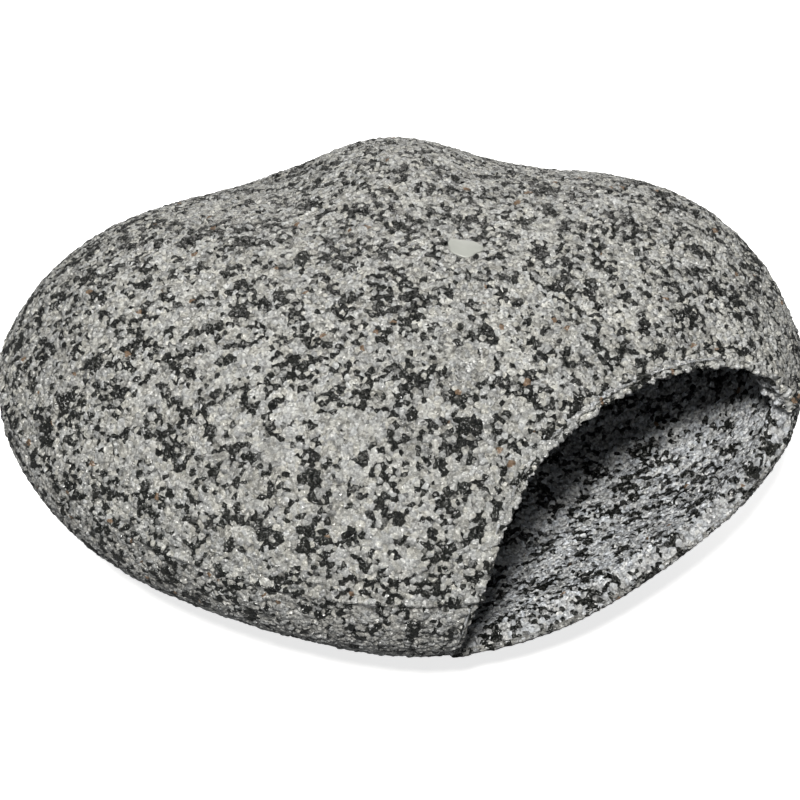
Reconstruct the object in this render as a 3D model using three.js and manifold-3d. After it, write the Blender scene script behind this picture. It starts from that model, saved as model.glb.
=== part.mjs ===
// Resin cave ornament: a hollow granite-look pebble for an aquarium, lying on its flat underside.
// Millimetres, +Z up. The origin is on the ground, below the middle of the outline seen from above.
// Two cast resin shells are bonded along a level seam. Sand grit covers them outside and inside.
import * as THREE from 'three';
import { mergeVertices } from 'three/addons/utils/BufferGeometryUtils.js';
import Module from 'manifold-3d';

const wasm = await Module();
wasm.setup();

// Driving dimensions of the pebble
const HALF_LENGTH = 79.2;       // along X, before the swellings
const HALF_WIDTH = 61.5;        // along Y
const HALF_HEIGHT = 38.5;       // along Z
const ROUNDNESS = 1.86;         // exponent of the superellipsoid, 2 is an ellipsoid
const CENTRE_HEIGHT = 32;       // centre of the pebble above the ground
const CENTRE_SHIFT = [0.72, -0.44];  // moves the middle of the finished outline onto the origin
const BUMP_SPREAD = 0.32;       // angular width of a swelling or hollow, radians
const BUMPS = [                 // share of the radius, at an azimuth from +X and an elevation
  { azimuth: 95, elevation: 42, share: 0.17 },
  { azimuth: 128, elevation: 38, share: -0.095 },
  { azimuth: 60, elevation: 38, share: -0.08 },
  { azimuth: 30, elevation: 25, share: 0.163 },
  { azimuth: 160, elevation: 22, share: 0.093 },
  { azimuth: 330, elevation: -20, share: -0.076 },
  { azimuth: 240, elevation: -30, share: -0.062 },
];

// Layers of the wall, from the outside in
const GAP = 0.3;                // clearance that neighbouring solids keep
const GRIT = 1.2;               // thickness of the sand coat
const RESIN = 3.5;              // thickness of the resin wall
const FLOOR_THICKNESS = 5;      // resin under the chamber
const SEAM_HEIGHT = 39;         // level of the seam between the two shells
const GRIT_FOOT = 0.5;          // the outer coat stops this far above the ground

// Mouth: a slanted hole through the front right wall, an arch above and a squarer sill below
const MOUTH_AZIMUTH = -47.4;    // direction the mouth faces, degrees from +X
const MOUTH_SIDE = -0.3;        // middle of the mouth, measured sideways from the centre
const MOUTH_HEIGHT = 31.5;      // level of the middle, where arch and sill meet
const MOUTH_SLANT = 11.5;       // the mouth rises to the right, degrees
const MOUTH_LEFT = 32;          // half-width on the left of the middle
const MOUTH_RIGHT = 49;         // half-width on the right of the middle
const ARCH = { lift: 26, roundness: 1.85 };
const SILL = { lift: 9, roundness: 6 };
const MOUTH_START = 18;         // the cutter starts inside the chamber
const MOUTH_REACH = 80;         // and runs this far out

// Bonding bead in the seam, and the pale chip set in the roof
const BEAD_WIDTH = 1.2;
const BEAD_HEIGHT = 2.4;
const CHIP_HALF = [3.6, 2.6, 0.8];
const CHIP_SINK = 0.3;          // its middle lies this far below the coat's surface
const CHIP_PLACE = [11.5, 1.5];

const AROUND = 40;              // facets around the pebble
const UPWARD = 18;              // facets from its bottom to its top
const MOUTH_STEPS = 40;         // facets around the mouth

const HALVES = new THREE.Vector3(HALF_LENGTH, HALF_WIDTH, HALF_HEIGHT);
const rad = THREE.MathUtils.degToRad;
const bumps = BUMPS.map(({ azimuth, elevation, share }) => {
  const flat = new THREE.Vector3(Math.cos(rad(azimuth)), Math.sin(rad(azimuth)), 0);
  const towards = flat.multiplyScalar(Math.cos(rad(elevation))).setZ(Math.sin(rad(elevation)));
  return { share, towards };
});

// Distance from the pebble's centre to its surface, with the surface moved in by inset.
function pebbleRadius(direction, inset) {
  const parts = direction.clone().divide(HALVES.clone().subScalar(inset)).toArray();
  const sum = parts.reduce((total, part) => total + Math.abs(part) ** ROUNDNESS, 0);
  const swell = bumps.reduce((total, bump) =>
    total + bump.share * Math.exp((direction.dot(bump.towards) - 1) / BUMP_SPREAD ** 2), 1);
  return sum ** (-1 / ROUNDNESS) * swell;
}

function solidOf(geometry) {
  const bare = geometry.clone();
  bare.deleteAttribute('normal');
  bare.deleteAttribute('uv');
  const merged = mergeVertices(bare, 1e-4);
  return new wasm.Manifold(new wasm.Mesh({
    numProp: 3,
    vertProperties: new Float32Array(merged.attributes.position.array),
    triVerts: new Uint32Array(merged.index.array),
  }));
}

function geometryOf(solid) {
  const mesh = solid.getMesh();
  const geometry = new THREE.BufferGeometry();
  geometry.setAttribute('position', new THREE.BufferAttribute(mesh.vertProperties, 3));
  geometry.setIndex(new THREE.BufferAttribute(mesh.triVerts, 1));
  const flat = geometry.toNonIndexed();
  flat.computeVertexNormals();
  return flat;
}

// The whole pebble shape, moved in by inset, as a solid. Its facets are closest where it curves most.
function pebble(inset) {
  const sphere = new THREE.SphereGeometry(1, AROUND, UPWARD);
  sphere.rotateX(Math.PI / 2);
  const position = sphere.attributes.position;
  const point = new THREE.Vector3();
  for (let i = 0; i < position.count; i += 1) {
    point.fromBufferAttribute(position, i).multiply(HALVES).normalize();
    point.multiplyScalar(pebbleRadius(point, inset));
    position.setXYZ(i, point.x, point.y, point.z + CENTRE_HEIGHT);
  }
  return solidOf(sphere);
}

// A slab wider than the pebble, between two heights.
function slab(low, high) {
  const size = 4 * HALF_LENGTH;
  const box = new THREE.BoxGeometry(size, size, high - low);
  box.translate(0, 0, (low + high) / 2);
  return solidOf(box);
}

// The mouth's cutter, with its outline moved out by grow.
function mouth(grow) {
  const outline = new THREE.Shape();
  for (let i = 0; i < MOUTH_STEPS; i += 1) {
    const angle = (i / MOUTH_STEPS) * 2 * Math.PI;
    const [c, s] = [Math.cos(angle), Math.sin(angle)];
    const reach = (c < 0 ? MOUTH_LEFT : MOUTH_RIGHT) + grow;
    const half = s < 0 ? SILL : ARCH;
    const power = 2 / half.roundness;
    const x = Math.sign(c) * reach * Math.abs(c) ** power;
    const y = Math.sign(s) * (half.lift + grow) * Math.abs(s) ** power;
    if (i === 0) outline.moveTo(x, y);
    else outline.lineTo(x, y);
  }
  const cutter = new THREE.ExtrudeGeometry(outline, { depth: MOUTH_REACH, bevelEnabled: false });
  cutter.rotateZ(rad(MOUTH_SLANT));
  cutter.translate(MOUTH_SIDE, MOUTH_HEIGHT, MOUTH_START);
  cutter.rotateX(Math.PI / 2);                       // the cutter now runs out along -Y
  cutter.rotateZ(rad(MOUTH_AZIMUTH + 90));
  return solidOf(cutter);
}

// Surfaces of the wall
const SKIN = [0, GRIT, GRIT + GAP, GRIT + GAP + RESIN, GRIT + 2 * GAP + RESIN, 2 * GRIT + 2 * GAP + RESIN];
const [outside, coatBack, resinOutside, resinInside, liningBack, chamberSkin] = SKIN.map(pebble);
const halfGap = GAP / 2;
const top = 3 * HALF_HEIGHT;
const aboveSeam = slab(SEAM_HEIGHT + halfGap, top);
const mouthInResin = mouth(GRIT + GAP);

const belowSeam = (low) => slab(low, SEAM_HEIGHT - halfGap);

// Groove and bead in the middle of the resin wall, level with the seam
function seamRing(width, height) {
  const middle = GRIT + GAP + RESIN / 2;
  const ring = pebble(middle - width / 2).subtract(pebble(middle + width / 2));
  return ring.intersect(slab(SEAM_HEIGHT - height / 2, SEAM_HEIGHT + height / 2));
}

// An oval chip that lies in the coat, moved out by grow.
function chip(grow) {
  const oval = new THREE.SphereGeometry(1, 20, 10);
  oval.scale(...CHIP_HALF.map((half) => half + grow));
  const [x, y] = CHIP_PLACE;
  const towards = new THREE.Vector3(x, y, HALF_HEIGHT).normalize();
  const surface = towards.clone().multiplyScalar(pebbleRadius(towards, CHIP_SINK));
  oval.applyQuaternion(new THREE.Quaternion().setFromUnitVectors(new THREE.Vector3(0, 0, 1), towards));
  oval.translate(surface.x, surface.y, surface.z + CENTRE_HEIGHT);
  return solidOf(oval);
}

const groove = seamRing(BEAD_WIDTH + 2 * GAP, BEAD_HEIGHT + 2 * GAP);
const liningFloor = FLOOR_THICKNESS + GAP;
const chamberFloor = liningFloor + GRIT;
const upTo = (solid, low) => solid.intersect(slab(low, top));

const pieces = {
  upper_shell: resinOutside.subtract(resinInside).intersect(aboveSeam)
    .subtract(mouthInResin).subtract(groove),
  lower_shell: resinOutside.subtract(upTo(resinInside, FLOOR_THICKNESS)).intersect(belowSeam(0))
    .subtract(mouthInResin).subtract(groove),
  seam_bead: seamRing(BEAD_WIDTH, BEAD_HEIGHT).subtract(mouth(GRIT + 2 * GAP)),
  dome_grit: outside.subtract(coatBack).intersect(aboveSeam).subtract(mouthInResin).subtract(chip(GAP)),
  base_grit: outside.subtract(coatBack).intersect(belowSeam(GRIT_FOOT)).subtract(mouthInResin),
  chamber_roof_grit: liningBack.subtract(chamberSkin).intersect(aboveSeam).subtract(mouthInResin),
  chamber_floor_grit: upTo(liningBack, liningFloor).subtract(upTo(chamberSkin, chamberFloor))
    .intersect(belowSeam(0)).subtract(mouthInResin),
  mouth_rim_grit: outside.subtract(chamberSkin).intersect(mouth(GRIT)).subtract(mouth(0)),
  quartz_chip: chip(0),
};

const LOOKS = {
  upper_shell: { color: 0x4b4a47, roughness: 0.55 },
  lower_shell: { color: 0x4b4a47, roughness: 0.55 },
  seam_bead: { color: 0xb9b4a6, roughness: 0.35 },
  dome_grit: { color: 0x8d8d87, roughness: 0.6 },
  base_grit: { color: 0x7d7d78, roughness: 0.6 },
  chamber_roof_grit: { color: 0x63645f, roughness: 0.65 },
  chamber_floor_grit: { color: 0x85868a, roughness: 0.65 },
  mouth_rim_grit: { color: 0x96968f, roughness: 0.6 },
  quartz_chip: { color: 0xd2d3cd, roughness: 0.3 },
};

const ornament = new THREE.Group();
ornament.position.set(...CENTRE_SHIFT, 0);
for (const [name, solid] of Object.entries(pieces)) {
  const material = new THREE.MeshStandardMaterial({ metalness: 0, ...LOOKS[name] });
  const mesh = new THREE.Mesh(geometryOf(solid), material);
  mesh.name = name;
  ornament.add(mesh);
}

export default ornament;
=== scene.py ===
"""Resin cave ornament: the granular coat, its materials, the light and the camera.

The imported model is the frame. The object's lengths are in millimetres in the constants, and in metres in
Blender. The studio's lengths are in metres throughout.
"""
import math

import bmesh
import bpy
import numpy as np
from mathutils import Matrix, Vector


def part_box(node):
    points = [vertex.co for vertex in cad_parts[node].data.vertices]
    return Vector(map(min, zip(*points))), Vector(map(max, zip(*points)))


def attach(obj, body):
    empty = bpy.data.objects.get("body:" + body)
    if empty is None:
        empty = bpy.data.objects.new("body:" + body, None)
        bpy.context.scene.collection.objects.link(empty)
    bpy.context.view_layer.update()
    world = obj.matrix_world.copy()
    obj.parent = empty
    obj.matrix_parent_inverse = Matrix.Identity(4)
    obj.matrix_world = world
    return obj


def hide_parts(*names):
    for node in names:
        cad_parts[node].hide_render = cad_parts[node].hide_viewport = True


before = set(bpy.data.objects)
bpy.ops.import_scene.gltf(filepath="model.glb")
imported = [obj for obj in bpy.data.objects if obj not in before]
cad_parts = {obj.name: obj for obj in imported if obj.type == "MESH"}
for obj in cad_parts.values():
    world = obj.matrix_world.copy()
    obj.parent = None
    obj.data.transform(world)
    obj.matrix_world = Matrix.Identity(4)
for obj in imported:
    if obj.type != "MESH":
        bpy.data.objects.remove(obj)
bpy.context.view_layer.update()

MM = 0.001

# ---------------------------------------------------------------- shape of the pebble, mm
HALF_SIZES = (79.2, 61.5, 38.5)
ROUNDNESS = 1.86
CENTRE = (0.72, -0.44, 32.0)
BUMP_SPREAD = 0.32
BUMPS = (  # azimuth and elevation in degrees, share of the radius
    (95, 42, 0.17), (128, 38, -0.095), (60, 38, -0.08), (30, 25, 0.163),
    (160, 22, 0.093), (330, -20, -0.076), (240, -30, -0.062),
)
WALL = 6.5             # from the outside of the coat to the chamber
SEAM_HEIGHT = 39.0
FOOT_HEIGHT = 0.5      # the coat stops this far above the ground
FLOOR_HEIGHT = 6.5

MOUTH_AZIMUTH = -47.4
MOUTH_SIDE = -0.3
MOUTH_HEIGHT = 31.5
MOUTH_SLANT = 11.5
MOUTH_LEFT = 32.0
MOUTH_RIGHT = 49.0
ARCH = (26.0, 1.85)    # lift and roundness
SILL = (9.0, 6.0)
MOUTH_START = 18.0
MOUTH_REACH = 80.0

# ---------------------------------------------------------------- skin of the wall, mm
ROUND_STEPS = 160      # steps around the pebble and around the mouth
VOXEL = 0.31
SMOOTHING = 0.5        # share of the way that a round of smoothing moves a point
EVEN_ROUNDS = 3
RIM_ROUNDING = 2.6
MOST_ROUNDED = 0.9     # the rounding of the rim moves no point further than this
COAT_BACK = 1.35       # depth of the coat's hidden back
BACK_SHARE = 0.03      # faces kept in the back, as a share of those in front
SHEET_EDGE = 0.9       # the outer coat and the lining reach this far around the mouth's edge
FOOT_EDGE = 0.25       # skin this close to the foot's height that faces down is the bare underside
FACING_DOWN = -0.9     # upward part of its unit normal

# ---------------------------------------------------------------- grain of the coat, mm
GRAIN_PITCH = 1.02
GRAIN_RELIEF = 0.45
RIM_RELIEF = 0.35      # added at the mouth's edge, where grains stand out
CROWN_RADIUS = 0.85    # radius of a grain's round crown, in grain pitches
FACETS = 2.6           # crystal facets per grain pitch
WOBBLE = 0.7           # bends the outlines of the grains
WOBBLE_SCALE = 1.1     # scales of noise are in cycles per mm here
LUMP_SCALE = 0.16

# heights in grain reliefs
RANDOM_HEIGHT = 0.6
GRAIN_LEAN = 0.9
LUMP_HEIGHT = 2.0
MEAN_HEIGHT = 1.9      # taken off, so that the grains lie evenly about the smooth skin
SEAM_RIDGE = 1.0       # ridge along the seam and step below it
SEAM_STEP = 0.9
SEAM_WIDTH = 0.9       # mm

# ---------------------------------------------------------------- flat layout of the pieces, whole side 1
LAYOUT_RADIUS = 0.48
LAYOUT_TILT = math.radians(100)        # tilt from the pole that reaches the layout's edge
RING_HOLE = 0.3        # inner radius of the rim's ring, as a share of the outer one
CORNER_PLACE = 0.07    # the hidden back lies in a corner, drawn much smaller
CORNER_SHARE = 0.11
EDGE_SHARE = 0.12

# ---------------------------------------------------------------- colour of the coat
# name: warm tint, cool tint, share of black grains, brightness
GRIT_LOOKS = {
    "upper_grit": ((1.0, 0.985, 0.90), (0.97, 0.99, 0.99), 0.30, 0.71),
    # painted shade: the lower coat is darker than the upper one, standing in for the shade on the lower
    # part of the pebble, which turns away from the light
    "lower_grit": ((1.0, 0.985, 0.92), (0.97, 0.99, 0.99), 0.30, 0.66),
    # painted light: the chamber's lining is brighter and cooler than the outer coat, standing in for the
    # cool light that falls in on the chamber's floor; the rim's values lie between the two
    "chamber_grit": ((0.97, 0.98, 0.97), (0.90, 0.95, 1.02), 0.28, 1.05),
    "rim_grit": ((0.98, 0.98, 0.96), (0.92, 0.96, 1.01), 0.28, 0.86),
}
CLUSTER_SCALE = 0.24   # scales of noise are in cycles per grain pitch here
PATCH_SCALE = 0.12
MOTTLE_SCALE = 1.9
ROUGH_SCALE = 4.0
CLUSTERING = 2.6       # how much clusters and mottle decide which grains are black
BLACK_MOTTLE = 0.12
BLACK_BAND = (-0.01, 0.06)             # black below the first and light above the second, past the share
BLACKEST = (0.0025, 0.003, 0.003, 1)
GREYEST = (0.020, 0.021, 0.018, 1)
RUSTY = (0.17, 0.115, 0.075, 1)
RUSTY_FROM = 0.996
LEAST_LIGHT = -0.15    # value of a light grain, before patches and the rest add to it
GRAIN_LIGHT = 0.22     # most that each of these adds
PATCH_LIGHT = 0.30
MOTTLE_LIGHT = 0.44
FACET_LIGHT = 0.28
CREVICE = (0.2, 0.75)  # height of the crown from the crevice, darkened with painted shade, to the open top
# the light grains' colour is multiplied by this in the crevices: painted shade between the grains
PAINTED_CREVICE_SHADE = 0.7
SHINE = (0.06, 0.38)   # roughness of the shiniest and the dullest facet
SPECULAR = 0.7
BUMP_DEPTH = 0.30      # mm, times the parts of facets, crown and fine roughness
FACET_BUMP = 1.9
CROWN_BUMP = 0.6
ROUGH_BUMP = 0.5

# ---------------------------------------------------------------- colour of resin, epoxy and quartz
NOISE_RANGE = (0.3, 0.7)               # nearly all values of a noise texture lie between these

# ---------------------------------------------------------------- pale chip, mm
CHIP_HALF_THICKNESS = 0.45
CHIP_LIFT = 0.08
CHIP_FLATNESS = 0.6    # power that flattens the round start, 1 keeps it round
CHIP_SIZE = 0.95       # share of the CAD chip's half sizes
CHIP_LOBES = ((0.09, 3, 0.6), (0.05, 5, 2.0))     # size, count, turn
CHIP_WAVE = 0.25       # height of the ripples, as a share of the half thickness
CHIP_RIPPLES = (2.3, 2.9)              # how closely they follow each other, along and across
SLOPE_STEP = 0.5
HALVINGS = 40

# ---------------------------------------------------------------- studio, metres
AIM = Vector((0, 0, 0.03))
FLOOR_HALF = 3.0
FLOOR_GREY = 0.92
FLOOR_ROUGHNESS = 0.8
FLOOR_GLOW = 0.72
SKY = (0.97, 0.985, 1.0, 1)
SKY_POWER = 0.20
LAMPS = {  # place, diameter, power, colour
    "key": ((-0.07, -0.47, 0.79), 0.15, 11.2, (1.0, 0.985, 0.95)),
    "back": ((0.1, 0.9, 0.24), 0.6, 2.2, (1.0, 0.97, 0.92)),
}
CAMERA_TARGET = (-0.0002, -0.00044, 0.03106)
CAMERA_DISTANCE = 0.446
CAMERA_ELEVATION = math.radians(45)
LENS = 100
SENSOR = 36

# piece: CAD node that it replaces, material, slot
COATS = {
    "dome_coat": ("dome_grit", "upper_grit", "outer_grit"),
    "base_coat": ("base_grit", "lower_grit", "outer_grit"),
    "roof_lining": ("chamber_roof_grit", "chamber_grit", "chamber_grit"),
    "floor_lining": ("chamber_floor_grit", "chamber_grit", "chamber_grit"),
    "rim_coat": ("mouth_rim_grit", "rim_grit", "chamber_grit"),
}


# ================================================================ shape
def bump_directions():
    for azimuth, elevation, share in BUMPS:
        a, e = math.radians(azimuth), math.radians(elevation)
        yield np.array((math.cos(e) * math.cos(a), math.cos(e) * math.sin(a), math.sin(e))), share


def pebble_radius(directions, inset):
    """Distance from the centre to the surface moved in by inset, for rows of unit vectors."""
    halves = np.array(HALF_SIZES) - inset
    total = (np.abs(directions / halves) ** ROUNDNESS).sum(axis=1)
    swell = np.ones(len(directions))
    for towards, share in bump_directions():
        swell += share * np.exp((directions @ towards - 1) / BUMP_SPREAD ** 2)
    return total ** (-1 / ROUNDNESS) * swell


def pebble_depth(points, inset):
    """How far rows of points in mm lie inside the surface moved in by inset."""
    from_centre = points - np.array(CENTRE)
    length = np.linalg.norm(from_centre, axis=1)
    return pebble_radius(from_centre / length[:, None], inset) - length


def object_from(name, mesh):
    thing = bpy.data.objects.new(name, mesh)
    bpy.context.collection.objects.link(thing)
    return thing


def pebble_solid(name, inset, floor):
    """A closed pebble with its surface moved in by inset, cut flat at the floor height."""
    shape = bmesh.new()
    bmesh.ops.create_uvsphere(shape, u_segments=ROUND_STEPS, v_segments=ROUND_STEPS // 2, radius=1)
    directions = np.array([v.co[:] for v in shape.verts])
    directions /= np.linalg.norm(directions, axis=1)[:, None]
    places = directions * pebble_radius(directions, inset)[:, None] + np.array(CENTRE)
    for vertex, place in zip(shape.verts, places):
        vertex.co = place * MM
    everything = shape.verts[:] + shape.edges[:] + shape.faces[:]
    cut = bmesh.ops.bisect_plane(shape, geom=everything, plane_co=(0, 0, floor * MM),
                                 plane_no=(0, 0, -1), clear_outer=True)
    edges = [e for e in cut["geom_cut"] if isinstance(e, bmesh.types.BMEdge)]
    bmesh.ops.contextual_create(shape, geom=edges)
    bmesh.ops.recalc_face_normals(shape, faces=shape.faces[:])
    mesh = bpy.data.meshes.new(name)
    shape.to_mesh(mesh)
    shape.free()
    return object_from(name, mesh)


def mouth_axes():
    """Unit vectors sideways along the mouth and out through it."""
    a = math.radians(MOUTH_AZIMUTH)
    return np.array((-math.sin(a), math.cos(a), 0)), np.array((math.cos(a), math.sin(a), 0))


def mouth_solid(name):
    """The slanted oval of the mouth, drawn out from inside the chamber to well past the wall."""
    side, out = mouth_axes()
    slant = math.radians(MOUTH_SLANT)
    ring = []
    for i in range(ROUND_STEPS):
        angle = 2 * math.pi * i / ROUND_STEPS
        c, s = math.cos(angle), math.sin(angle)
        reach = MOUTH_LEFT if c < 0 else MOUTH_RIGHT
        lift, roundness = SILL if s < 0 else ARCH
        x = math.copysign(reach * abs(c) ** (2 / roundness), c)
        y = math.copysign(lift * abs(s) ** (2 / roundness), s)
        across = MOUTH_SIDE + x * math.cos(slant) - y * math.sin(slant)
        height = MOUTH_HEIGHT + x * math.sin(slant) + y * math.cos(slant)
        ring.append(side * across + np.array((CENTRE[0], CENTRE[1], height)))
    shape = bmesh.new()
    near = [shape.verts.new((p + out * MOUTH_START) * MM) for p in ring]
    far = [shape.verts.new((p + out * (MOUTH_START + MOUTH_REACH)) * MM) for p in ring]
    for i in range(ROUND_STEPS):
        j = (i + 1) % ROUND_STEPS
        shape.faces.new((near[i], near[j], far[j], far[i]))
    shape.faces.new(near)
    shape.faces.new(far)
    bmesh.ops.recalc_face_normals(shape, faces=shape.faces[:])
    mesh = bpy.data.meshes.new(name)
    shape.to_mesh(mesh)
    shape.free()
    return object_from(name, mesh)


def near_mouth(points, margin):
    """True for rows of points within margin of the mouth's opening, beyond the chamber's middle."""
    side, out = mouth_axes()
    place = points - np.array(CENTRE)
    slant = math.radians(MOUTH_SLANT)
    across = place @ side - MOUTH_SIDE
    height = points[:, 2] - MOUTH_HEIGHT
    x = across * math.cos(slant) + height * math.sin(slant)
    y = -across * math.sin(slant) + height * math.cos(slant)
    reach = np.where(x < 0, MOUTH_LEFT, MOUTH_RIGHT) + margin
    lift = np.where(y < 0, SILL[0], ARCH[0]) + margin
    power = np.where(y < 0, SILL[1], ARCH[1])
    inside = np.abs(x / reach) ** power + np.abs(y / lift) ** power < 1
    return inside & (place @ out > MOUTH_START)


def modified(thing, *modifiers):
    """The mesh that modifiers, given as (type, settings), make of a thing, which itself stays as it is."""
    for kind, settings in modifiers:
        modifier = thing.modifiers.new(kind.lower(), kind)
        for key, value in settings.items():
            setattr(modifier, key, value)
    graph = bpy.context.evaluated_depsgraph_get()
    mesh = bpy.data.meshes.new_from_object(thing.evaluated_get(graph))
    thing.modifiers.clear()
    return mesh


def rows(items, attribute, width, kind=np.float32):
    """One attribute of a mesh's items, as rows of this width."""
    values = np.empty(len(items) * width, dtype=kind)
    items.foreach_get(attribute, values)
    return values.reshape(-1, width)


def coords(mesh):
    return rows(mesh.vertices, "co", 3).astype(float)


def drop(*things):
    """Removes objects together with their meshes."""
    for thing in things:
        mesh = thing.data
        bpy.data.objects.remove(thing)
        bpy.data.meshes.remove(mesh)


def limit_moves(mesh, start, most):
    """Pulls each vertex back to at most this distance from its place in the start mesh."""
    before = coords(start)
    move = coords(mesh) - before
    length = np.maximum(np.linalg.norm(move, axis=1), 1e-9)
    places = before + move * np.minimum(1, most / length)[:, None]
    mesh.vertices.foreach_set("co", places.astype(np.float32).ravel())
    mesh.update()


def wall_skin():
    """The smooth skin of the whole wall, outside, mouth rim and chamber, as one even mesh."""
    wall = pebble_solid("wall", 0, FOOT_HEIGHT)
    hollow = pebble_solid("hollow", WALL, FLOOR_HEIGHT)
    mouth = mouth_solid("mouth_cut")
    cuts = [("BOOLEAN", {"operation": "DIFFERENCE", "solver": "EXACT", "object": tool})
            for tool in (hollow, mouth)]
    mesh = modified(wall, *cuts, ("REMESH", {"mode": "VOXEL", "voxel_size": VOXEL * MM}))
    skin = object_from("skin", mesh)
    drop(wall, hollow, mouth)
    near = near_mouth(coords(mesh) / MM, RIM_ROUNDING)
    group = skin.vertex_groups.new(name="rim")
    group.add(np.flatnonzero(near).tolist(), 1.0, "REPLACE")
    rounds = int((RIM_ROUNDING / VOXEL) ** 2 / 2)
    even = ("SMOOTH", {"factor": SMOOTHING, "iterations": EVEN_ROUNDS})
    rounding = ("SMOOTH", {"factor": SMOOTHING, "iterations": rounds, "vertex_group": "rim"})
    mesh = modified(skin, even, rounding)
    sharp = modified(skin, even)
    limit_moves(mesh, sharp, MOST_ROUNDED * MM)
    bpy.data.meshes.remove(sharp)
    drop(skin)
    return object_from("skin", mesh)


# ================================================================ node helpers
class Nodes:
    """Short calls for building a node tree."""

    def __init__(self, tree):
        self.tree = tree

    def add(self, kind, inputs=None, **settings):
        node = self.tree.nodes.new(kind)
        for key, value in settings.items():
            setattr(node, key, value)
        for key, value in (inputs or {}).items():
            self.feed(node.inputs[key], value)
        return node

    def feed(self, socket, value):
        if isinstance(value, bpy.types.NodeSocket):
            self.tree.links.new(value, socket)
        else:
            socket.default_value = value

    def math(self, operation, *values, clamp=False):
        node = self.add("ShaderNodeMath", operation=operation, use_clamp=clamp)
        for socket, value in zip(node.inputs, values):
            self.feed(socket, value)
        return node.outputs[0]

    def vector(self, operation, *values):
        node = self.add("ShaderNodeVectorMath", operation=operation)
        for socket, value in zip(node.inputs, values):
            self.feed(socket, value)
        return node.outputs["Value" if operation == "DOT_PRODUCT" else "Vector"]

    def ramp(self, value, low, high, to_low=0.0, to_high=1.0, smooth=False):
        """A value carried from one range to another, and kept within it."""
        node = self.add("ShaderNodeMapRange", interpolation_type="SMOOTHSTEP" if smooth else "LINEAR")
        for name, part in zip(("Value", "From Min", "From Max", "To Min", "To Max"),
                              (value, low, high, to_low, to_high)):
            self.feed(node.inputs[name], part)
        return node.outputs[0]

    def noise(self, place, scale, detail=2.0, output="Fac"):
        node = self.add("ShaderNodeTexNoise", {"Vector": place, "Scale": scale, "Detail": detail})
        return node.outputs[output]

    def voronoi(self, place):
        return self.add("ShaderNodeTexVoronoi", {"Vector": place, "Scale": 1.0})

    def split(self, vector):
        return self.add("ShaderNodeSeparateXYZ", {0: vector}).outputs

    def tint(self, color, value):
        """The colour times a value."""
        grey = self.add("ShaderNodeCombineXYZ", {0: value, 1: value, 2: value}).outputs[0]
        return self.mix(1.0, color, grey, blend="MULTIPLY")

    def mix(self, factor, first, second, blend="MIX"):
        node = self.add("ShaderNodeMix", data_type="RGBA", blend_type=blend)
        for socket, value in ((node.inputs[0], factor), (node.inputs[6], first), (node.inputs[7], second)):
            self.feed(socket, value)
        return node.outputs[2]


def tilted_facets(nodes, place):
    """Small flat facets at a place in grain units: height of their random tilts, and a random value."""
    fine = nodes.vector("MULTIPLY", place, (FACETS,) * 3)
    cell = nodes.voronoi(fine)
    away = nodes.vector("SUBTRACT", fine, cell.outputs["Position"])
    tilt = nodes.vector("SUBTRACT", cell.outputs["Color"], (0.5,) * 3)
    return nodes.vector("DOT_PRODUCT", away, tilt), nodes.split(cell.outputs["Color"])[1]


def grain_parts(nodes, place):
    """Voronoi grains at a place in grain units: round crown, random values and middle of the grain."""
    cell = nodes.voronoi(place)
    share = nodes.math("DIVIDE", cell.outputs["Distance"], CROWN_RADIUS)
    left = nodes.math("SUBTRACT", 1.0, nodes.math("MULTIPLY", share, share), clamp=True)
    return nodes.math("SQRT", left), cell.outputs["Color"], cell.outputs["Position"]


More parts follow.
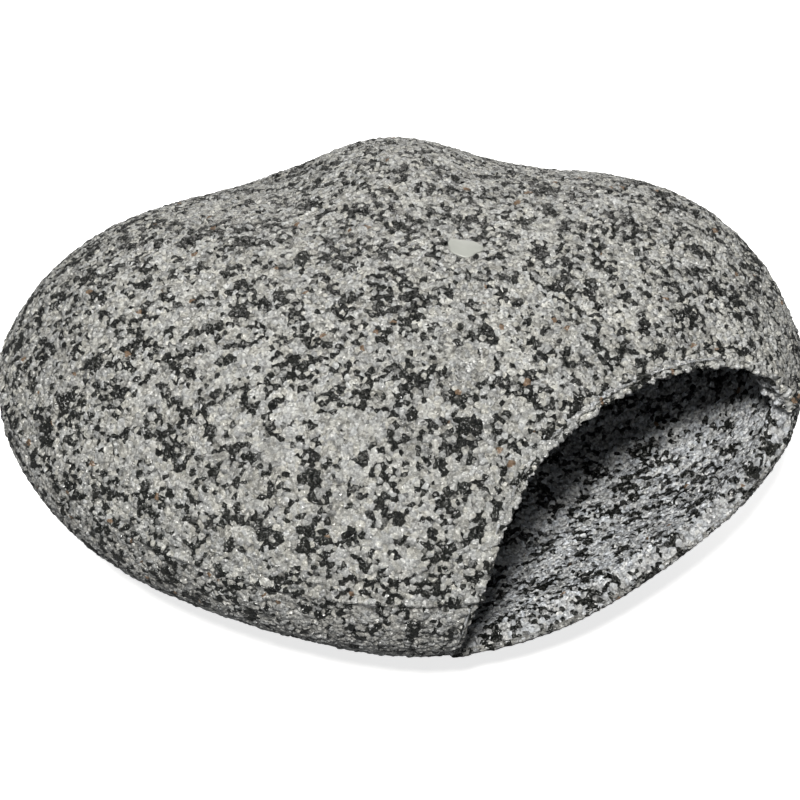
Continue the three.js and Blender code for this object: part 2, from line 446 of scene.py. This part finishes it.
# ================================================================ grains as real geometry
def grain_tree():
    """Geometry nodes that lift every vertex by the height of its grain and store the grain space."""
    tree = bpy.data.node_groups.new("grains", "GeometryNodeTree")
    tree.interface.new_socket("Geometry", in_out="INPUT", socket_type="NodeSocketGeometry")
    tree.interface.new_socket("Geometry", in_out="OUTPUT", socket_type="NodeSocketGeometry")
    nodes = Nodes(tree)
    entry = nodes.add("NodeGroupInput")
    position = nodes.add("GeometryNodeInputPosition").outputs[0]
    normal = nodes.add("GeometryNodeInputNormal").outputs[0]
    in_mm = nodes.vector("MULTIPLY", position, (1 / MM,) * 3)
    wobble = nodes.noise(in_mm, WOBBLE_SCALE, detail=1.0, output="Color")
    shifted = nodes.vector("MULTIPLY_ADD", wobble, (WOBBLE,) * 3, in_mm)
    space = nodes.vector("MULTIPLY", shifted, (1 / GRAIN_PITCH,) * 3)

    crown, chance, middle = grain_parts(nodes, space)
    chances = nodes.split(chance)
    away = nodes.vector("SUBTRACT", space, middle)
    lean = nodes.vector("DOT_PRODUCT", away, nodes.vector("SUBTRACT", chance, (0.5,) * 3))
    height = nodes.math("MULTIPLY_ADD", chances[2], RANDOM_HEIGHT, crown)
    height = nodes.math("MULTIPLY_ADD", lean, GRAIN_LEAN, height)
    lumps = nodes.noise(in_mm, LUMP_SCALE, detail=3.0)
    height = nodes.math("MULTIPLY_ADD", lumps, LUMP_HEIGHT, height)
    height = nodes.math("SUBTRACT", height, MEAN_HEIGHT)
    from_seam = nodes.math("SUBTRACT", nodes.split(in_mm)[2], SEAM_HEIGHT)
    ridge = nodes.ramp(nodes.math("ABSOLUTE", from_seam), 0.0, SEAM_WIDTH, SEAM_RIDGE, 0.0, smooth=True)
    step = nodes.ramp(from_seam, -SEAM_WIDTH, 0.0, -SEAM_STEP, 0.0, smooth=True)
    height = nodes.math("ADD", height, nodes.math("ADD", ridge, step))
    rim = nodes.add("GeometryNodeInputNamedAttribute", {"Name": "rim"}, data_type="FLOAT").outputs[0]
    relief = nodes.math("MULTIPLY_ADD", rim, RIM_RELIEF, GRAIN_RELIEF)
    height = nodes.math("MULTIPLY", height, nodes.math("MULTIPLY", relief, MM))
    thrice = nodes.add("ShaderNodeCombineXYZ", {0: height, 1: height, 2: height}).outputs[0]
    offset = nodes.vector("MULTIPLY", normal, thrice)

    stored = nodes.add("GeometryNodeStoreNamedAttribute",
                       {"Geometry": entry.outputs[0], "Name": "grain_space"},
                       data_type="FLOAT_VECTOR", domain="POINT")
    values = [s for s in stored.inputs if s.name == "Value" and s.enabled]
    nodes.feed(values[0], space)
    moved = nodes.add("GeometryNodeSetPosition", {"Geometry": stored.outputs[0], "Offset": offset})
    nodes.add("NodeGroupOutput", {0: moved.outputs[0]})
    return tree


def sheet_classes(points, normals):
    """The piece of the coat that each row of smooth points belongs to, or "" on the bare underside."""
    outer = pebble_depth(points, 0)
    inner = -pebble_depth(points, WALL)
    low = points[:, 2] < SEAM_HEIGHT
    high = ~low
    on_floor = (points[:, 2] < FLOOR_HEIGHT + SHEET_EDGE) & (outer > WALL - SHEET_EDGE)
    outside = outer < SHEET_EDGE
    inside = (inner < SHEET_EDGE) | on_floor
    underside = (points[:, 2] < FOOT_HEIGHT + FOOT_EDGE) & (normals[:, 2] < FACING_DOWN)
    names = np.full(len(points), "rim_coat", dtype=object)
    names[inside & high] = "roof_lining"
    names[inside & low] = "floor_lining"
    names[outside & high] = "dome_coat"
    names[outside & low] = "base_coat"
    names[underside] = ""
    return names


def disc_layout(pole):
    """Spreads rows of points around the pebble's centre on a flat disc, from the pole at its middle."""
    def spread(points):
        unit = points / np.linalg.norm(points, axis=1)[:, None]
        tilt = np.arccos(np.clip(unit[:, 2] * pole, -1, 1)) / LAYOUT_TILT
        turn = np.arctan2(unit[:, 1], unit[:, 0])
        return 0.5 + LAYOUT_RADIUS * tilt[:, None] * np.column_stack((np.cos(turn), np.sin(turn)))
    return spread


def ring_layout(points):
    """Spreads rows of points on the mouth's rim on a flat ring, with the chamber's side inwards."""
    side, out = mouth_axes()
    turn = np.arctan2(points[:, 2] - (MOUTH_HEIGHT - CENTRE[2]), points @ side)
    depth = (points @ out - MOUTH_START) / (HALF_SIZES[0] - MOUTH_START)
    radius = LAYOUT_RADIUS * (RING_HOLE + (1 - RING_HOLE) * np.clip(depth, 0, 1))
    return 0.5 + radius[:, None] * np.column_stack((np.cos(turn), np.sin(turn)))


def mesh_from(name, faces, places, space, layout):
    """A mesh of quads, with the grain space of each vertex and the flat layout of each face corner."""
    mesh = bpy.data.meshes.new(name)
    mesh.vertices.add(len(places))
    mesh.vertices.foreach_set("co", places.astype(np.float32).ravel())
    mesh.loops.add(faces.size)
    mesh.loops.foreach_set("vertex_index", faces.ravel().astype(np.int32))
    mesh.polygons.add(len(faces))
    mesh.polygons.foreach_set("loop_start", np.arange(0, faces.size, 4, dtype=np.int32))
    mesh.update(calc_edges=True)
    mesh.shade_smooth()
    attribute = mesh.attributes.new("grain_space", "FLOAT_VECTOR", "POINT")
    attribute.data.foreach_set("vector", space.astype(np.float32).ravel())
    flat = mesh.uv_layers.new(name="OFBake")
    flat.data.foreach_set("uv", layout.astype(np.float32).ravel())
    return mesh


def open_edges(quads):
    """Directed edges, as rows of two vertex numbers, that have a face on one side only."""
    edges = np.stack((quads, np.roll(quads, -1, axis=1)), axis=2).reshape(-1, 2).astype(np.int64)
    size = quads.max() + 1
    forward, backward = edges[:, 0] * size + edges[:, 1], edges[:, 1] * size + edges[:, 0]
    return edges[~np.isin(forward, backward)]


def cut_out(name, faces, front, back, space, spread):
    """A closed object from faces of the skin, rows of four vertex numbers, with a coarse hidden back.
    """
    used, numbers = np.unique(faces, return_inverse=True)
    quads = numbers.reshape(-1, 4)
    count = len(used)
    layout = spread(front[used] / MM - np.array(CENTRE))
    edges = open_edges(quads)
    sides = np.column_stack((edges[:, 1], edges[:, 0], edges[:, 0] + count, edges[:, 1] + count))
    hidden = np.vstack((sides, quads[:, ::-1] + count))
    corner = CORNER_PLACE + np.vstack((EDGE_SHARE * (layout - 0.5), CORNER_SHARE * (layout - 0.5)))
    places = np.vstack((front[used], back[used]))
    twice = np.vstack((space[used], space[used]))
    flat = np.vstack((layout[quads.ravel()], corner[hidden.ravel()]))
    mesh = mesh_from(name, np.vstack((quads, hidden)), places, twice, flat)
    smooth = np.ones(len(mesh.polygons), dtype=bool)
    smooth[len(quads):len(quads) + len(sides)] = False
    mesh.polygons.foreach_set("use_smooth", smooth)
    piece = object_from(name, mesh)
    group = piece.vertex_groups.new(name="back")
    group.add((np.setdiff1d(np.arange(count), edges.ravel()) + count).tolist(), 1.0, "REPLACE")
    kept = len(quads) * (1 + BACK_SHARE) + len(sides)
    ratio = kept / (len(quads) * 2 + len(sides))
    piece.data = modified(piece, ("DECIMATE", {"ratio": ratio, "vertex_group": "back"}))
    piece.vertex_groups.clear()
    bpy.data.meshes.remove(mesh)
    return piece


def coat_pieces():
    """The granular skin, cut into the five pieces of the coat."""
    skin = wall_skin()
    smooth = coords(skin.data)
    back = smooth - rows(skin.data.vertex_normals, "vector", 3) * COAT_BACK * MM
    modifier = skin.modifiers.new("grains", "NODES")
    modifier.node_group = grain_tree()
    graph = bpy.context.evaluated_depsgraph_get()
    mesh = bpy.data.meshes.new_from_object(skin.evaluated_get(graph))
    places = coords(mesh)
    space = rows(mesh.attributes["grain_space"].data, "vector", 3)
    faces = rows(mesh.loops, "vertex_index", 1, np.int32).reshape(-1, 4)
    corners = smooth[faces]
    normals = np.cross(corners[:, 2] - corners[:, 0], corners[:, 3] - corners[:, 1])
    normals /= np.linalg.norm(normals, axis=1)[:, None]
    names = sheet_classes(corners.mean(axis=1) / MM, normals)
    drop(skin)
    bpy.data.meshes.remove(mesh)
    above, below = disc_layout(1), disc_layout(-1)
    spreads = {"dome_coat": above, "base_coat": below, "roof_lining": above, "floor_lining": below,
               "rim_coat": ring_layout}
    return {name: cut_out(name, faces[names == name], places, back, space, spread)
            for name, spread in spreads.items()}


# ================================================================ materials
def light_grains(nodes, chances, facet_chance, patches, mottle, look):
    """Colour of the light grains: warm to cool, with patches and mottle, and a few rusty ones."""
    warm, cool, _, brightness = look
    value = nodes.math("MULTIPLY_ADD", chances[1], GRAIN_LIGHT, LEAST_LIGHT)
    value = nodes.math("MULTIPLY_ADD", patches, PATCH_LIGHT, value)
    value = nodes.math("MULTIPLY_ADD", mottle, MOTTLE_LIGHT, value)
    value = nodes.math("MULTIPLY_ADD", facet_chance, FACET_LIGHT, value)
    # this brightness carries painted light on the chamber and rim, and painted shade on the lower coat
    value = nodes.math("MULTIPLY", value, brightness)
    light = nodes.tint(nodes.mix(chances[2], warm + (1,), cool + (1,)), value)
    return nodes.mix(nodes.math("GREATER_THAN", chances[1], RUSTY_FROM), light, RUSTY)


def black_grains(nodes, chances, clusters, mottle, share):
    """1 on black grains and 0 on light ones, for about this share of black grains."""
    pick = nodes.math("MULTIPLY_ADD", nodes.math("SUBTRACT", clusters, 0.5), CLUSTERING, chances[0])
    pick = nodes.math("MULTIPLY_ADD", nodes.math("SUBTRACT", mottle, 0.5), BLACK_MOTTLE, pick)
    return nodes.ramp(pick, share + BLACK_BAND[0], share + BLACK_BAND[1], 1.0, 0.0)


def grit_material(name):
    """Bonded quartz grit: light grains, black grains in small clusters, a few rusty ones, and painted shade
    in the crevices between the light grains.
    """
    look = GRIT_LOOKS[name]
    material = bpy.data.materials.new(name)
    material.use_nodes = True
    tree = material.node_tree
    tree.nodes.clear()
    nodes = Nodes(tree)
    space = nodes.add("ShaderNodeAttribute", attribute_name="grain_space").outputs["Vector"]
    crown, chance, middle = grain_parts(nodes, space)
    chances = nodes.split(chance)
    facet, facet_chance = tilted_facets(nodes, space)
    clusters = nodes.noise(middle, CLUSTER_SCALE, detail=3.0)
    patches = nodes.noise(middle, PATCH_SCALE, detail=1.0)
    mottle = nodes.noise(space, MOTTLE_SCALE, detail=3.0)
    light = light_grains(nodes, chances, facet_chance, patches, mottle, look)
    # painted shade: light grains grow darker towards their edges, in the crevices between grains
    light = nodes.tint(light, nodes.ramp(crown, *CREVICE, PAINTED_CREVICE_SHADE, 1.0, smooth=True))
    black = nodes.mix(facet_chance, BLACKEST, GREYEST)
    color = nodes.mix(black_grains(nodes, chances, clusters, mottle, look[2]), light, black)
    height = nodes.math("MULTIPLY_ADD", facet, FACET_BUMP, nodes.math("MULTIPLY", crown, CROWN_BUMP))
    rough = nodes.noise(space, ROUGH_SCALE, detail=3.0)
    height = nodes.math("MULTIPLY_ADD", rough, ROUGH_BUMP, height)
    bump = nodes.add("ShaderNodeBump", {"Height": height, "Strength": 1.0, "Distance": BUMP_DEPTH * MM})
    surface = nodes.add("ShaderNodeBsdfPrincipled", {
        "Base Color": color, "Roughness": nodes.ramp(facet_chance, 0.0, 1.0, *SHINE),
        "Normal": bump.outputs[0], "Specular IOR Level": SPECULAR})
    nodes.add("ShaderNodeOutputMaterial", {0: surface.outputs[0]})
    return material


def cloudy_material(name, first, second, scale, detail):
    """A material whose colour drifts between two in clouds, and what is needed to add to it.

    Scales of noise on the object's place are in cycles per metre.
    """
    material = bpy.data.materials.new(name)
    material.use_nodes = True
    nodes = Nodes(material.node_tree)
    surface = material.node_tree.nodes["Principled BSDF"]
    place = nodes.add("ShaderNodeTexCoord").outputs["Object"]
    clouds = nodes.noise(place, scale, detail=detail)
    nodes.feed(surface.inputs["Base Color"], nodes.mix(clouds, first, second))
    return material, nodes, surface, place, clouds


def add_roughness(nodes, surface, pattern, low, high):
    nodes.feed(surface.inputs["Roughness"], nodes.ramp(pattern, *NOISE_RANGE, low, high))


def add_bump(nodes, surface, pattern, strength, depth):
    bump = nodes.add("ShaderNodeBump", {"Height": pattern, "Strength": strength, "Distance": depth * MM})
    nodes.feed(surface.inputs["Normal"], bump.outputs[0])


def resin_material():
    """Dark stone-filled casting resin, matt, with faint clouds and pits."""
    dark, pale = (0.045, 0.045, 0.042, 1), (0.085, 0.084, 0.078, 1)
    material, nodes, surface, place, _ = cloudy_material("dark_resin", dark, pale, scale=90.0, detail=4.0)
    pits = nodes.noise(place, 1400.0)
    add_roughness(nodes, surface, pits, 0.5, 0.75)
    add_bump(nodes, surface, pits, strength=0.5, depth=0.2)
    return material


def bead_material():
    """Pale epoxy squeezed into the seam, slightly glossy and cloudy."""
    dark, pale = (0.36, 0.34, 0.28, 1), (0.50, 0.48, 0.41, 1)
    material, nodes, surface, _, clouds = cloudy_material("pale_epoxy", dark, pale, scale=200.0, detail=3.0)
    add_roughness(nodes, surface, clouds, 0.25, 0.4)
    return material


def quartz_material():
    """Smooth milky quartz with faint clouds."""
    dark, pale = (0.30, 0.31, 0.285, 1), (0.40, 0.41, 0.385, 1)
    made = cloudy_material("milky_quartz", dark, pale, scale=350.0, detail=3.0)
    material, nodes, surface, place, clouds = made
    add_roughness(nodes, surface, clouds, 0.32, 0.5)
    add_bump(nodes, surface, nodes.noise(place, 900.0), strength=0.3, depth=0.1)
    return material


# ================================================================ chip, stage, light, camera
def surface_place(x, y):
    """Point and outward normal of the pebble's smooth surface above a place in the plan, mm."""
    def height(x, y):
        low, high = CENTRE[2], CENTRE[2] + 2 * HALF_SIZES[2]
        for _ in range(HALVINGS):
            middle = (low + high) / 2
            inside = pebble_depth(np.array([[x, y, middle]]), 0)[0] > 0
            low, high = (middle, high) if inside else (low, middle)
        return low

    top = height(x, y)
    slope_x = (height(x + SLOPE_STEP, y) - top) / SLOPE_STEP
    slope_y = (height(x, y + SLOPE_STEP) - top) / SLOPE_STEP
    normal = np.array((-slope_x, -slope_y, 1.0))
    return np.array((x, y, top)), normal / np.linalg.norm(normal)


def quartz_chip():
    """A worn flat chip of quartz, irregular in outline, lying flush in the coat."""
    low, high = (np.array(corner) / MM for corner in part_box("quartz_chip"))
    middle, half = (low + high) / 2, (high - low) / 2
    place, up = surface_place(middle[0], middle[1])
    along = np.cross((0.0, 1.0, 0.0), up)
    along /= np.linalg.norm(along)
    across = np.cross(up, along)
    shape = bmesh.new()
    bmesh.ops.create_icosphere(shape, subdivisions=5, radius=1)
    for vertex in shape.verts:
        x, y, z = vertex.co
        angle = math.atan2(y, x)
        edge = CHIP_SIZE + sum(size * math.sin(count * angle + turn) for size, count, turn in CHIP_LOBES)
        wave = CHIP_WAVE * math.sin(CHIP_RIPPLES[0] * x + 1.0) * math.cos(CHIP_RIPPLES[1] * y)
        lift = CHIP_HALF_THICKNESS * (math.copysign(abs(z) ** CHIP_FLATNESS, z) + wave) + CHIP_LIFT
        flat = along * x * half[0] * edge + across * y * half[1] * edge
        vertex.co = (place + flat + up * lift) * MM
    mesh = bpy.data.meshes.new("milky_chip")
    shape.to_mesh(mesh)
    shape.free()
    mesh.shade_smooth()
    mesh.materials.append(quartz_material())
    return object_from("milky_chip", mesh)


def pale_floor():
    """A bright floor that sheds no light of its own on the object."""
    mesh = bpy.data.meshes.new("floor")
    corners = [(x * FLOOR_HALF, y * FLOOR_HALF, 0) for x, y in ((-1, -1), (1, -1), (1, 1), (-1, 1))]
    mesh.from_pydata(corners, [], [(0, 1, 2, 3)])
    material = bpy.data.materials.new("pale_floor")
    material.use_nodes = True
    shader = material.node_tree.nodes["Principled BSDF"]
    shader.inputs["Base Color"].default_value = (FLOOR_GREY, FLOOR_GREY, FLOOR_GREY, 1)
    shader.inputs["Roughness"].default_value = FLOOR_ROUGHNESS
    shader.inputs["Emission Color"].default_value = (1, 1, 1, 1)
    shader.inputs["Emission Strength"].default_value = FLOOR_GLOW
    mesh.materials.append(material)
    stage = object_from("floor", mesh)
    stage.visible_diffuse = False
    stage.visible_glossy = False


def lamp(name, place, size, power, color):
    """A round lamp that faces the object."""
    light = bpy.data.lights.new(name, "AREA")
    light.shape = "DISK"
    light.size = size
    light.energy = power
    light.color = color
    holder = object_from(name, light)
    holder.location = place
    holder.rotation_euler = (AIM - Vector(place)).to_track_quat("-Z", "Y").to_euler()


def studio():
    pale_floor()
    world = bpy.data.worlds.new("studio")
    world.use_nodes = True
    background = world.node_tree.nodes["Background"]
    background.inputs[0].default_value = SKY
    background.inputs[1].default_value = SKY_POWER
    bpy.context.scene.world = world
    for name, settings in LAMPS.items():
        lamp(name, *settings)
    bpy.context.scene.view_settings.view_transform = "Standard"


def camera():
    lens = bpy.data.cameras.new("camera")
    lens.lens = LENS
    lens.sensor_width = SENSOR
    eye = object_from("camera", lens)
    back = np.array((0, -math.cos(CAMERA_ELEVATION), math.sin(CAMERA_ELEVATION)))
    eye.location = np.array(CAMERA_TARGET) + CAMERA_DISTANCE * back
    eye.rotation_euler = (math.pi / 2 - CAMERA_ELEVATION, 0, 0)
    bpy.context.scene.camera = eye


# ================================================================ the run
studio()
camera()
grits = {name: grit_material(name) for name in GRIT_LOOKS}
for name, piece in coat_pieces().items():
    node, look, slot = COATS[name]
    piece.data.materials.append(grits[look])
    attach(piece, "root")
    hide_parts(node)

resin = resin_material()
for node, look in (("upper_shell", resin), ("lower_shell", resin), ("seam_bead", bead_material())):
    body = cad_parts[node].data
    body.materials.clear()
    body.materials.append(look)

chip = quartz_chip()
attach(chip, "root")
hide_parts("quartz_chip")
